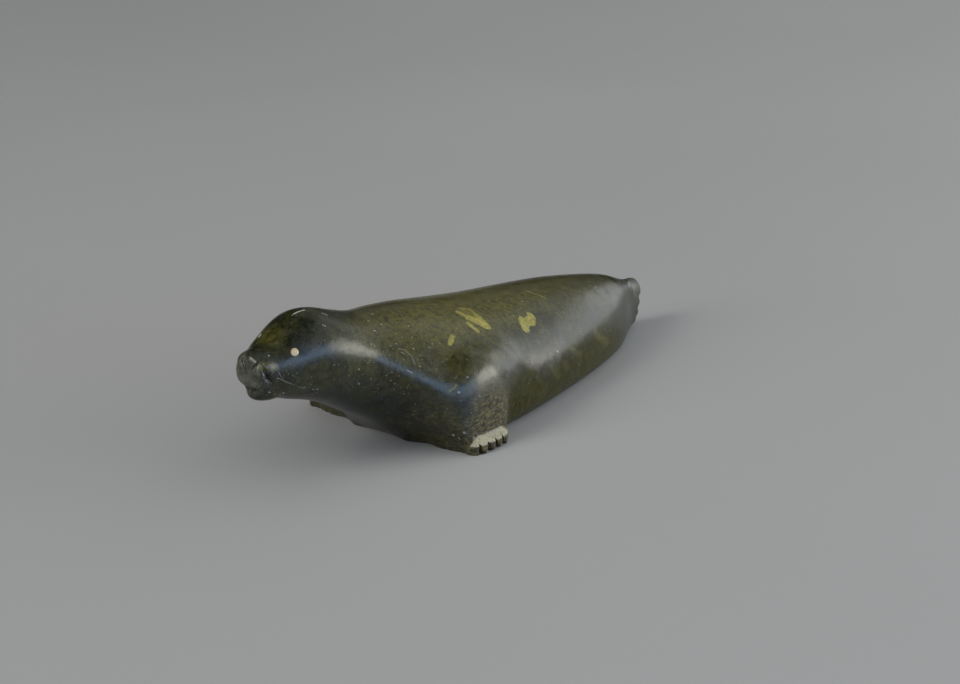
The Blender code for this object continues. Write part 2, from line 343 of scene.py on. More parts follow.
    def blob(self, place: Socket, centre: Vector, radii: Place, soft: float = 0.35) -> Socket:
        """Make a soft patch in the form of an ellipsoid, 1 inside and 0 outside.

        Args:
            place: The place that is tested, plain or folded.
            centre: The patch's middle, in metres.
            radii: Its radii along X, Y and Z, in millimetres.
            soft: How soft its edge is, as a share of the radii.

        Returns:
            The mask's socket.
        """
        offset = self.vector("SUBTRACT", place, tuple(centre / MM))
        share = self.vector("LENGTH", self.vector("DIVIDE", offset, radii))
        return self.fade(share, 1.0 - soft, 1.0 + soft, 1.0, 0.0)

    def stroke(self, place: Socket, start: Vector, end: Vector, radius: float, soft: float) -> Socket:
        """Make a line with round ends, 1 on it and 0 off it.

        Args:
            place: The place that is tested.
            start: Where the line starts, in metres.
            end: Where it ends.
            radius: Half its width, in millimetres.
            soft: How soft its edge is, in millimetres.

        Returns:
            The mask's socket.
        """
        first = start / MM
        run = (end - start) / MM
        offset = self.vector("SUBTRACT", place, tuple(first))
        along = self.vector("DOT_PRODUCT", offset, tuple(run))
        share = self.math("DIVIDE", along, run.length_squared, clamp=True)
        near = self.vector("SCALE", tuple(run), scale=share)
        away = self.vector("LENGTH", self.vector("SUBTRACT", offset, near))
        return self.fade(away, radius - soft, radius + soft, 1.0, 0.0)

    def most(self, *masks: Socket) -> Socket:
        """Take the strongest of several masks at each place.

        Args:
            masks: The masks.

        Returns:
            The joint mask's socket.
        """
        result = masks[0]
        for mask in masks[1:]:
            result = self.math("MAXIMUM", result, mask)
        return result

    def bump(
        self, height: Socket, distance: float, strength: float = 1.0, below: Socket | None = None
    ) -> Socket:
        """Raise the skin by a pattern of heights, over another bump if there is one.

        Args:
            height: The heights, from 0 to 1.
            distance: The rise at a height of 1, in metres.
            strength: How much of the rise shows.
            below: The bump that this one lies on.

        Returns:
            The socket of the raised skin's directions.
        """
        node = self.add("ShaderNodeBump")
        node.inputs["Strength"].default_value = strength
        node.inputs["Distance"].default_value = distance
        self.feed(node.inputs["Height"], height)
        if below is not None:
            self.feed(node.inputs["Normal"], below)
        return node.outputs["Normal"]


@dataclass(frozen=True)
class Mark:
    """A stroke on the skin: a vein, a stain, a scratch, a chip or a painted highlight.

    Attributes:
        start: Where it starts: back, out and up, in millimetres.
        end: Where it ends.
        radius: Half its width in millimetres.
        strength: How much it shows, from 0 to 1.
        side: The side of the seal that it lies on.
    """

    start: Place
    end: Place
    radius: float
    strength: float = 1.0
    side: Side = Side.LEFT


def fleck(place: Place, radius: float, strength: float = 1.0) -> Mark:
    """Make a small round mark on the left side.

    Args:
        place: Where it lies: back, out and up, in millimetres.
        radius: Its radius in millimetres.
        strength: How much it shows, from 0 to 1.

    Returns:
        The mark, slightly longer than wide.
    """
    back, out, up = place
    return Mark(place, (back + 0.25, out, up - 0.1), radius, strength)


MUZZLE = ((0.6, 1.6, 26.8), (4.2, 4.6, 4.6))
MARK_CHAIN = (0.03, 0.03, 0.03)
VEINS = (
    Mark((63.2, 6.8, 27.5), (65.9, 7.9, 26.7), 0.45, 0.4),
    Mark((65.9, 7.9, 26.7), (65.6, 10.3, 25.8), 0.6, 0.55),
    Mark((65.6, 10.3, 25.8), (65.7, 12.4, 24.6), 0.8, 0.75),
    Mark((61.1, 8.4, 27.2), (62.3, 10.7, 26.0), 0.75, 0.85),
    Mark((62.3, 10.7, 26.0), (63.8, 12.2, 25.0), 1.15),
    Mark((63.8, 12.2, 25.0), (65.2, 13.5, 24.0), 1.35),
    Mark((60.1, 12.2, 25.4), (60.8, 14.5, 23.9), 0.62, 0.9),
    Mark((51.9, 14.3, 24.8), (49.1, 15.6, 23.9), 0.6, 0.8),
    Mark((79.2, 13.7, 21.6), (78.0, 15.4, 20.4), 1.35),
    Mark((83.4, 12.9, 21.6), (81.9, 14.4, 20.6), 1.2),
    Mark((79.8, 14.4, 21.2), (82.4, 13.9, 21.2), 1.3, 0.85),
    Mark((91.8, 4.7, 24.2), (94.5, 8.3, 22.4), 0.3, 0.45),
    Mark((44.1, 21.8, 16.8), (42.5, 21.3, 15.5), 0.2, 0.6),
    Mark((58.0, 9.0, 27.2), (64.0, 14.5, 23.8), 0.7, 0.9, Side.RIGHT),
    Mark((84.0, 11.0, 22.6), (88.0, 12.6, 20.9), 0.9, 0.9, Side.RIGHT),
)
STAINS = (
    Mark((63.4, 8.2, 26.9), (65.0, 12.2, 24.9), 1.1, 0.9),
    Mark((81.0, 20.4, 10.5), (84.6, 20.0, 6.6), 0.8, 0.2),
    Mark((106.6, 15.5, 10.6), (113.0, 14.1, 6.5), 1.0, 0.35),
    Mark((91.7, 18.3, 12.0), (97.4, 17.8, 8.2), 0.45, 0.3),
    Mark((87.0, 19.4, 9.8), (90.0, 19.0, 7.0), 0.6, 0.15),
    Mark((1.1, 3.9, 29.0), (3.9, 4.9, 28.4), 0.6, 0.75),
)
SCRATCHES_AND_GLINTS = (
    # The first two are painted highlights: the glint on the crown and the one on the far side of the
    # forehead, laid on as pale streaks.
    Mark((14.4, 0.35, 36.9), (17.4, 0.6, 37.0), 0.22, 1.0),
    Mark((6.6, -2.6, 33.0), (7.3, -2.9, 33.2), 0.3, 1.0),
    Mark((20.3, 3.2, 35.8), (21.0, 3.9, 35.4), 0.22, 0.45),
    Mark((17.4, 6.0, 34.6), (17.9, 6.3, 34.3), 0.18, 0.4),
    Mark((3.9, 5.1, 26.0), (7.0, 5.9, 24.1), 0.09, 0.45),
    Mark((7.0, 5.9, 24.1), (10.6, 6.5, 22.1), 0.08, 0.35),
    Mark((4.4, 5.3, 27.0), (5.4, 5.4, 25.2), 0.1, 0.28),
    Mark((36.2, 13.3, 25.6), (36.9, 14.9, 24.2), 0.12, 0.22),
    Mark((36.9, 14.9, 24.2), (36.6, 16.2, 22.6), 0.12, 0.22),
    Mark((34.9, 12.6, 25.8), (36.2, 13.3, 25.6), 0.12, 0.2),
    Mark((34.6, 15.4, 21.4), (35.2, 16.6, 20.9), 0.14, 0.6),
    fleck((85.5, 19.1, 12.9), 0.31, 0.63),
    # This fleck is a painted highlight: the sparkle at the lower end of the chest ridge.
    fleck((44.0, 22.4, 15.1), 0.26, 0.63),
    fleck((46.6, 23.0, 18.2), 0.21, 0.42),
    fleck((32.0, 7.9, 29.8), 0.2, 0.56),
    fleck((33.1, 5.1, 31.3), 0.26, 0.28),
    fleck((36.9, 2.9, 31.7), 0.26, 0.35),
    fleck((42.3, 9.2, 28.8), 0.2, 0.42),
    fleck((24.1, 10.3, 20.0), 0.19, 0.49),
    fleck((43.0, 22.6, 3.6), 0.2, 0.49),
    fleck((10.4, 6.7, 22.4), 0.14, 0.42),
    fleck((35.6, 6.8, 30.3), 0.2, 0.49),
    fleck((13.8, 7.3, 21.1), 0.17, 0.49),
    fleck((6.3, 4.4, 21.7), 0.17, 0.63),
    fleck((3.0, 3.4, 22.6), 0.17, 0.63),
    fleck((42.3, 21.7, 4.3), 0.27, 0.63),
    fleck((44.3, 23.7, 5.5), 0.26, 0.56),
    Mark((30.0, 10.0, 27.8), (31.6, 11.4, 26.4), 0.12, 0.6, Side.RIGHT),
    Mark((16.0, 6.4, 34.4), (17.6, 7.4, 33.2), 0.15, 0.6, Side.RIGHT),
)
SCUFF_TURNS = (
    ((0.0, 20.0, 30.0), 3.0),
    ((40.0, 0.0, -50.0), 17.0),
    ((0.0, 80.0, 10.0), 29.0),
)


@dataclass(frozen=True)
class StoneFinish:
    """Polished dark green stone with olive clouds, yellow veins, specks, scratch marks, painted glints and
    worn places.

    Attributes:
        deep: The darkest green.
        green: The middle green.
        olive: The brownish olive of the clouds.
        moss: The deeper yellow green low on the rear flanks.
        grey: The greyed green of handled places.
        stain: The dull yellow of soft stains.
        vein: The yellow of the veins.
        chalk_and_glint: Scratched and bruised stone, and the pale of the painted highlights.
        shade: The dark brown in the abraded arms.
        worn: The light brownish grey in the abraded arms.
        ledge: The pale raw stone on the top of the fore flippers.
        index: The refractive index.
        shine: The share of mirrored light where the stone is polished.
        dull_shine: The same where it is least polished.
    """

    deep: Colour = (0.0055, 0.0065, 0.0040, 1.0)
    green: Colour = (0.018, 0.021, 0.010, 1.0)
    olive: Colour = (0.090, 0.082, 0.015, 1.0)
    moss: Colour = (0.040, 0.035, 0.0035, 1.0)
    grey: Colour = (0.058, 0.062, 0.045, 1.0)
    stain: Colour = (0.150, 0.128, 0.026, 1.0)
    vein: Colour = (0.330, 0.295, 0.055, 1.0)
    chalk_and_glint: Colour = (0.36, 0.37, 0.32, 1.0)
    shade: Colour = (0.020, 0.018, 0.008, 1.0)
    worn: Colour = (0.185, 0.152, 0.056, 1.0)
    ledge: Colour = (0.41, 0.385, 0.275, 1.0)
    index: float = 1.47
    shine: float = 0.5
    dull_shine: float = 0.16

    def ground(self, sheet: Sheet) -> Socket:
        """Lay out the clouded ground of the stone, darker above the eyes and with painted shade behind the
        muzzle.

        Args:
            sheet: The material's sheet.

        Returns:
            The ground colour's socket.
        """
        clouds = sheet.noise(0.09, 4.0, 0.6)
        grain = sheet.noise(0.8, 6.0, 0.7, shift=31.0)
        share = sheet.math("MULTIPLY_ADD", grain, 0.7, sheet.math("MULTIPLY", clouds, 0.5))
        colour = sheet.mix(sheet.fade(share, 0.45, 0.75), self.deep, self.green)
        colour = sheet.mix(self.olive_share(sheet, grain), colour, self.olive)
        colour = sheet.mix(self.moss_share(sheet, grain), colour, self.moss)
        colour = sheet.mix(self.grey_share(sheet), colour, self.grey)
        # Darker above the eyes, and painted shade in the crease behind the muzzle.
        return sheet.mix(self.shade_and_dark_share(sheet), colour, self.deep)

    def zones(self, sheet: Sheet, places: Sequence[tuple[Place, Place]], soft: float) -> Socket:
        """Make soft patches that both sides have alike.

        Args:
            sheet: The material's sheet.
            places: The middle and the three radii of each patch, in millimetres.
            soft: How soft they are, as a share of the radii.

        Returns:
            The mask's socket.
        """
        patches = [sheet.blob(sheet.half, spot(centre), radii, soft) for centre, radii in places]
        return sheet.most(*patches)

    def olive_share(self, sheet: Sheet, grain: Socket) -> Socket:
        """Find how olive each place is: most along the back, less on rump, forehead and shoulders.

        Args:
            sheet: The material's sheet.
            grain: The stone's grain.

        Returns:
            The mask's socket.
        """
        back = ((66.0, 7.0, 27.0), (40.0, 12.0, 8.0))
        rump = ((98.0, 5.0, 22.0), (36.0, 11.0, 7.0))
        forehead = ((7.2, 1.4, 33.8), (3.0, 2.4, 2.4))
        shoulder = ((50.0, 17.0, 20.0), (14.0, 8.0, 7.0))
        weaker = sheet.math("MULTIPLY", self.zones(sheet, (rump, forehead, shoulder), 0.6), 0.5)
        zone = sheet.most(self.zones(sheet, (back,), 0.6), weaker)
        patch = sheet.fade(sheet.noise(0.16, 3.0, 0.6, shift=-57.0), 0.42, 0.62)
        zone = sheet.math("MULTIPLY_ADD", zone, 0.9, sheet.math("MULTIPLY", patch, 0.22))
        return sheet.math("MULTIPLY", zone, sheet.fade(grain, 0.34, 0.62, 0.30, 1.0), clamp=True)

    def moss_share(self, sheet: Sheet, grain: Socket) -> Socket:
        """Find how mossy each place is, low on the rear flanks."""
        patchy = sheet.fade(grain, 0.36, 0.62, 0.40, 1.0)
        return sheet.math("MULTIPLY", self.low_flanks(sheet), patchy, clamp=True)

    def low_flanks(self, sheet: Sheet) -> Socket:
        """Mark the flanks behind the arms and below the shine, which are less polished.

        Args:
            sheet: The material's sheet.

        Returns:
            The mask's socket.
        """
        rear = ((98.0, 16.5, 3.0), (38.0, 9.0, 8.5))
        armpit = ((68.0, 20.5, 6.0), (11.0, 6.5, 8.0))
        return self.zones(sheet, (rear, armpit), 0.4)

    def grey_share(self, sheet: Sheet) -> Socket:
        """Find how greyed each place is: the handled muzzle and the tail fin.

        Args:
            sheet: The material's sheet.

        Returns:
            The mask's socket.
        """
        fin = ((146.0, 5.0, 8.0), (6.0, 14.0, 14.0))
        zone = self.zones(sheet, (MUZZLE, fin), 0.35)
        patchy = sheet.fade(sheet.noise(1.4, 4.0, 0.7, shift=51.0), 0.35, 0.65, 0.25, 0.9)
        return sheet.math("MULTIPLY", zone, patchy)

    def shade_and_dark_share(self, sheet: Sheet) -> Socket:
        """Find where the colour is darkened: above the eyes, and behind the muzzle as painted shade in the
        cheek crease.

        Args:
            sheet: The material's sheet.

        Returns:
            The mask's socket.
        """
        brow = ((10.4, 5.9, 32.4), (3.0, 2.6, 2.3))
        muzzle_crease_shade = ((2.6, 5.0, 26.6), (1.3, 1.6, 1.5))
        return sheet.math("MULTIPLY", self.zones(sheet, (brow, muzzle_crease_shade), 0.5), 0.8)

    def marks(
        self, sheet: Sheet, body: bpy.types.Object, marks: Sequence[Mark], ragged: float, soft: float
    ) -> Socket:
        """Make one mask for a set of marks, laid on the skin.

        Each mark shifts the pattern's place by a hair for the next one. That chains the marks, so that the
        renderer can work them out one after the other: side by side, this many overfill its stack.

        Args:
            sheet: The material's sheet.
            body: The carved body.
            marks: The marks.
            ragged: How far their edges wander, in millimetres.
            soft: How soft their edges are, in millimetres.

        Returns:
            The mask's socket.
        """
        wander = sheet.add("ShaderNodeTexNoise")
        wander.inputs["Scale"].default_value = 1.1
        wander.inputs["Detail"].default_value = 3.0
        sheet.feed(wander.inputs["Vector"], sheet.place)
        centred = sheet.vector("SUBTRACT", wander.outputs["Color"], (0.5, 0.5, 0.5))
        place = sheet.vector("ADD", sheet.place, sheet.vector("SCALE", centred, scale=2.0 * ragged))
        mask = None
        for mark in marks:
            start = body.closest_point_on_mesh(spot(mark.start, mark.side))[1]
            end = body.closest_point_on_mesh(spot(mark.end, mark.side))[1]
            line = sheet.stroke(place, start, end, mark.radius, soft)
            line = sheet.math("MULTIPLY", line, mark.strength)
            mask = line if mask is None else sheet.math("MAXIMUM", mask, line)
            place = sheet.vector("MULTIPLY_ADD", mask, MARK_CHAIN, place)
        return mask

    def specks(self, sheet: Sheet, scale: float, share: Socket, size: float, shift: float) -> Socket:
        """Scatter specks.

        Args:
            sheet: The material's sheet.
            scale: Cells per millimetre.
            share: The share of the cells that hold a speck, from place to place.
            size: The largest radius, as a share of a cell.
            shift: Moves the pattern.

        Returns:
            The mask's socket.
        """
        cells = sheet.add("ShaderNodeTexVoronoi")
        cells.inputs["Scale"].default_value = scale
        sheet.feed(cells.inputs["Vector"], sheet.mapping(shift, (1.0, 1.0, 1.0), (20.0, 35.0, 10.0)))
        parts = sheet.add("ShaderNodeSeparateColor")
        sheet.feed(parts.inputs["Color"], cells.outputs["Color"])
        keep = sheet.math("LESS_THAN", parts.outputs[0], share)
        reach = sheet.math("MULTIPLY", parts.outputs[1], size)
        disc = sheet.fade(sheet.math("DIVIDE", cells.outputs["Distance"], reach), 0.6, 1.0, 1.0, 0.0)
        return sheet.math("MULTIPLY", keep, disc)

    def worn_share(self, sheet: Sheet) -> Socket:
        """Find how worn each place is: most on the arms, less on the front of the chest.

        Args:
            sheet: The material's sheet.

        Returns:
            The mask's socket.
        """
        arm = ((53.0, 26.5, 4.5), (9.0, 7.5, 10.0))
        brisket = ((40.0, 19.0, 5.0), (7.0, 11.0, 8.0))
        arms = self.zones(sheet, (arm,), 0.35)
        chest = self.zones(sheet, (brisket,), 0.4)
        wander = sheet.noise(0.5, 4.0, 0.7, shift=12.0)
        zone = sheet.most(arms, sheet.math("MULTIPLY", chest, 0.35))
        return sheet.math("MULTIPLY", zone, sheet.fade(wander, 0.25, 0.55, 0.55, 1.0))

    def ledge_share(self, sheet: Sheet) -> Socket:
        """Mark the upward faces of the fore flippers, beside the arms.

        Args:
            sheet: The material's sheet.

        Returns:
            The mask's socket.
        """
        parts = sheet.add("ShaderNodeSeparateXYZ")
        sheet.feed(parts.inputs["Vector"], sheet.place)
        out = sheet.math("ABSOLUTE", parts.outputs["Y"])
        facing = sheet.add("ShaderNodeSeparateXYZ")
        sheet.feed(facing.inputs["Vector"], sheet.normal)
        ragged = sheet.noise(1.6, 4.0, 0.7, shift=5.0)
        edge = sheet.math("MULTIPLY_ADD", ragged, 1.4, out)
        band = sheet.fade(edge, 25.5, 26.0)
        band = sheet.math("MULTIPLY", band, sheet.fade(ragged, 0.36, 0.52, 0.45, 1.0))
        band = sheet.math("MULTIPLY", band, sheet.fade(parts.outputs["Z"], 1.9, 2.3))
        band = sheet.math("MULTIPLY", band, sheet.fade(facing.outputs["Z"], 0.2, 0.5))
        length = sheet.fade(parts.outputs["X"], 42.6 - NOSE_TO_MIDDLE, 45.6 - NOSE_TO_MIDDLE)
        return sheet.math("MULTIPLY", band, length)

    def rubbed(self, sheet: Sheet) -> Socket:
        """Make the short strokes and pits of an abraded place, light on dark.

        Args:
            sheet: The material's sheet.

        Returns:
            The mask's socket.
        """
        pits = sheet.noise(0.9, 5.0, 0.8, shift=2.0)
        strokes = sheet.noise(1.1, 4.0, 0.75, stretch=(0.5, 0.5, 2.4), shift=37.0)
        share = sheet.math("MULTIPLY_ADD", strokes, 0.5, sheet.math("MULTIPLY", pits, 0.5))
        return sheet.fade(share, 0.44, 0.62)

    def scuffs(self, sheet: Sheet) -> Socket:
        """Make fine hairline scratch lines that run in several directions.

        Args:
            sheet: The material's sheet.

        Returns:
            The mask's socket.
        """
        mask = None
        for turn, shift in SCUFF_TURNS:
            lines = sheet.add("ShaderNodeTexNoise")
            lines.inputs["Scale"].default_value = 1.0
            lines.inputs["Detail"].default_value = 1.0
            sheet.feed(lines.inputs["Vector"], sheet.mapping(shift, (0.35, 5.0, 5.0), turn))
            level = sheet.math("SUBTRACT", lines.outputs[0], 0.5)
            thin = sheet.fade(sheet.math("ABSOLUTE", level), 0.0, 0.02, 1.0, 0.0)
            mask = thin if mask is None else sheet.math("MAXIMUM", mask, thin)
        return sheet.math("MULTIPLY", mask, sheet.fade(sheet.noise(0.35, 2.0, shift=44.0), 0.42, 0.65))

    def material(self, body: bpy.types.Object) -> bpy.types.Material:
        """Lay out the stone.

        Args:
            body: The carved body, for the places of its marks.

        Returns:
            The finished material.
        """
        sheet = Sheet("polished_green_stone")
        worn = self.worn_share(sheet)
        ledge = self.ledge_share(sheet)
        stains = self.marks(sheet, body, STAINS, 0.6, 0.75)
        veins = self.marks(sheet, body, VEINS, 0.5, 0.22)
        scratches_and_glints = self.marks(sheet, body, SCRATCHES_AND_GLINTS, 0.12, 0.05)
        scuffs = self.scuffs(sheet)
        bruised = sheet.blob(sheet.place, spot((34.0, 14.0, 24.0), Side.LEFT), (16.0, 8.0, 8.0), 0.6)
        jaw = sheet.blob(sheet.place, spot((6.0, 5.0, 24.0), Side.LEFT), (9.0, 4.0, 5.0), 0.6)
        share = sheet.math("MULTIPLY_ADD", sheet.most(bruised, jaw, worn), 0.22, 0.018)
        specks = sheet.most(
            self.specks(sheet, 1.1, share, 0.30, 7.0),
            self.specks(sheet, 2.3, sheet.math("MULTIPLY", share, 1.6), 0.33, 23.0),
        )
        patchy = sheet.fade(sheet.noise(1.3, 4.0, 0.65, shift=9.0), 0.3, 0.65, 0.35, 1.0)
        colour = self.ground(sheet)
        colour = sheet.mix(sheet.math("MULTIPLY", stains, patchy), colour, self.stain)
        colour = sheet.mix(sheet.math("MULTIPLY", veins, patchy), colour, self.vein)
        rubbed = self.rubbed(sheet)
        colour = sheet.mix(worn, colour, sheet.mix(rubbed, self.shade, self.worn))
        handled = sheet.fade(self.zones(sheet, (MUZZLE,), 0.4), 0.0, 1.0, 0.12, 0.5)
        colour = sheet.mix(sheet.math("MULTIPLY", scuffs, handled), colour, self.chalk_and_glint)
        colour = sheet.mix(sheet.math("MULTIPLY", specks, 0.6), colour, self.chalk_and_glint)
        colour = sheet.mix(ledge, colour, self.ledge)
        # Pale scratches and chips, and the painted highlights on the crown, the forehead and the chest ridge.
        colour = sheet.mix(scratches_and_glints, colour, self.chalk_and_glint)
        sheet.feed(sheet.shader.inputs["Base Color"], colour)
        fin_edge = ((147.0, 5.0, 8.0), (5.0, 16.0, 16.0))
        fin = self.zones(sheet, (fin_edge,), 0.3)
        dull = sheet.math("MULTIPLY_ADD", sheet.most(worn, fin), 0.26, 0.20)
        dull = sheet.math("MULTIPLY_ADD", sheet.noise(0.6, 4.0, 0.6, shift=61.0), 0.10, dull)
        dull = sheet.math("MULTIPLY_ADD", sheet.most(ledge, scratches_and_glints, specks), 0.35, dull, clamp=True)
        sheet.feed(sheet.shader.inputs["Roughness"], dull)
        unpolished = sheet.most(self.low_flanks(sheet), sheet.math("MULTIPLY", worn, 0.5))
        mirrored = sheet.fade(unpolished, 0.0, 1.0, self.shine, self.dull_shine)
        sheet.feed(sheet.shader.inputs["Specular IOR Level"], mirrored)
        sheet.shader.inputs["IOR"].default_value = self.index
        pits = sheet.math("MULTIPLY", sheet.most(scratches_and_glints, specks), -1.0)
        skin = sheet.bump(sheet.noise(0.55, 3.0, 0.5, shift=71.0), 0.00012, 0.35)
        skin = sheet.bump(sheet.math("MULTIPLY", rubbed, worn), 0.00012, 0.8, skin)
        skin = sheet.bump(pits, 0.00006, 0.6, skin)
        skin = sheet.bump(scuffs, 0.00001, 0.5, skin)
        sheet.feed(sheet.shader.inputs["Normal"], skin)
        return sheet.material


@dataclass(frozen=True)
class BoneFinish:
    """Aged bone or antler, cream clouded with a warmer yellow, and fine pores.

    Attributes:
        pale: The cream of the middle.
        warm: The yellowed tone.
        pore: The dark tone of the pores.
        index: The refractive index.
    """

    pale: Colour = (0.52, 0.45, 0.28, 1.0)
    warm: Colour = (0.43, 0.32, 0.17, 1.0)
    pore: Colour = (0.22, 0.15, 0.08, 1.0)
    index: float = 1.54

    def material(self) -> bpy.types.Material:
        """Lay out the bone.

        Returns:
            The finished material.
        """
        sheet = Sheet("old_bone")
        tone = sheet.fade(sheet.noise(1.1, 3.0, 0.6), 0.38, 0.68)
        colour = sheet.mix(tone, self.pale, self.warm)
        pores = sheet.fade(sheet.noise(6.0, 2.0, 0.5, stretch=(1.0, 1.0, 0.4), shift=8.0), 0.66, 0.74)
        colour = sheet.mix(sheet.math("MULTIPLY", pores, 0.5), colour, self.pore)
        sheet.feed(sheet.shader.inputs["Base Color"], colour)
        sheet.feed(sheet.shader.inputs["Roughness"], sheet.math("MULTIPLY_ADD", pores, 0.25, 0.38))
        sheet.shader.inputs["IOR"].default_value = self.index
        sheet.feed(sheet.shader.inputs["Normal"], sheet.bump(pores, -0.00002, 0.6))
        return sheet.material


@dataclass(frozen=True)
class Eye:
    """One inlaid eye: a turned peg with a low dome, in a hole that fits it closely.

    Attributes:
        side: The side of the head.
        node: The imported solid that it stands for.
        radius: The peg's radius.
        play: The gap between the peg and its hole.
        dome: How much higher the middle of the face is than its rim.
        length: How long the peg is.
        sunk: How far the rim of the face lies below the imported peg's face.
        edge: The width of the rounded rim.
        rings: The rings that the face is divided into.
    """

    side: Side
    node: str
    radius: float = 0.90 * MM
    play: float = 0.05 * MM
    dome: float = 0.16 * MM
    length: float = 1.9 * MM
    sunk: float = 0.06 * MM
    edge: float = 0.07 * MM
    rings: int = 6

    def axis(self) -> tuple[Vector, Vector]:
        """Find the peg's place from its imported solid.

        Returns:
            The middle of the peg and the direction that it faces.
        """
        cad = bpy.data.objects[self.node]
        points = np.array([vertex.co for vertex in cad.data.vertices])
        middle = (points.max(0) + points.min(0)) / 2
        spread = np.cov((points - points.mean(0)).T)
        way = Vector(np.linalg.eigh(spread)[1][:, 2])
        if way.y * self.side.value < 0:
            way.negate()
        return Vector(middle), way

    def face(self) -> Vector:
        """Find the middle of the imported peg's outer face.

        Returns:
            The point.
        """
        middle, way = self.axis()
        cad = bpy.data.objects[self.node]
        return middle + way * max((vertex.co - middle).dot(way) for vertex in cad.data.vertices)

    def rod(self, name: str, radius: float, deep: float, proud: float) -> bpy.types.Object:
        """Set a plain round rod on the eye's axis.

        Args:
            name: The object's name.
            radius: Its radius.
            deep: How far it goes in from the peg's face.
            proud: How far it stands out from the peg's face.

        Returns:
            The rod, for cutting or for turning into the peg.
        """
        way = self.axis()[1]
        drop_selection()
        bpy.ops.mesh.primitive_cylinder_add(
            vertices=64,
            radius=radius,
            depth=deep + proud,
            location=self.face() + way * (proud - deep) / 2,
            rotation=way.to_track_quat("Z", "Y").to_euler(),
        )
        rod = bpy.context.active_object
        rod.name = name
        settle(rod)
        return rod

    def build(self, finish: bpy.types.Material) -> bpy.types.Object:
        """Turn the peg.

        Args:
            finish: The bone.

        Returns:
            The finished eye.
        """
        face, way = self.face(), self.axis()[1]
        peg = self.rod(self.side.name.lower() + "_eye_inlay", self.radius, self.length, 0.0)
        take_up(peg)
        bpy.ops.object.mode_set(mode="EDIT")
        bpy.ops.mesh.select_mode(type="FACE")
        bpy.ops.mesh.select_all(action="DESELECT")
        mesh = bmesh.from_edit_mesh(peg.data)
        for end in mesh.faces:
            end.select_set(end.normal.dot(way) > FACING)
        bmesh.update_edit_mesh(peg.data)
        for _ in range(self.rings):
            bpy.ops.mesh.inset(thickness=self.radius * 0.145)
        bpy.ops.object.mode_set(mode="OBJECT")
        for vertex in peg.data.vertices:
            offset = vertex.co - face
            out = (offset - way * offset.dot(way)).length / self.radius
            if offset.dot(way) > -0.2 * self.radius:
                vertex.co += way * (self.dome * (1 - out * out) - self.sunk)
        edge = peg.modifiers.new("Edge", "BEVEL")
        edge.width = self.edge
        edge.segments = 3
        edge.limit_method = "ANGLE"
        edge.angle_limit = math.radians(50)
        apply_all(peg)
        take_up(peg)
        bpy.ops.object.shade_smooth_by_angle(angle=math.radians(40))
        peg.data.materials.clear()
        peg.data.materials.append(finish)
        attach(peg, "root")
        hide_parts(self.node)
        LOG.info("%s: %d triangles", peg.name, triangles(peg))
        return peg


@dataclass(frozen=True)
class Cut:
    """A carved line: its way points on the skin and its width.

    Attributes:
        name: What it is.
        places: Back, out and up of each way point, in millimetres.
        width: Its width at the middle, in millimetres.
        both: Whether the other side has the same cut.
    """

    name: str
    places: tuple[Place, ...]
    width: float
    both: bool = True


FACE_CUTS = (
    Cut("near_nostril", ((1.3, -2.9, 30.0), (0.7, -2.1, 28.8), (0.3, -1.4, 27.6)), 0.8, False),
    Cut("far_nostril", ((0.9, 2.1, 29.9), (0.5, 1.3, 28.7), (0.3, 0.7, 27.6)), 0.7, False),
    Cut("cheek_crease", ((1.2, 3.7, 29.3), (1.2, 4.4, 27.8), (1.7, 4.8, 26.2), (2.9, 5.0, 24.7)), 0.8),
    Cut(
        "mouth",
        ((3.9, 5.1, 24.6), (2.6, 4.5, 23.8), (1.4, 3.2, 23.3), (0.9, 0.0, 22.9))
        + ((1.4, -3.2, 23.3), (2.6, -4.5, 23.8), (3.9, -5.1, 24.6)),
        0.7,
        False,
    ),
)


BACK_LIFTS = (
    (18.0, 0.0),
    (21.0, 0.3),
    (24.0, 0.55),
    (28.0, 0.65),
    (32.5, 0.1),
    (37.0, -0.3),
    (46.0, -0.22),
    (52.0, -0.2),
    (60.0, -0.45),
    (68.0, -0.68),
    (76.0, -0.86),
    (84.0, -0.82),
    (92.0, -0.6),
    (100.0, -0.28),
    (108.0, 0.0),
)


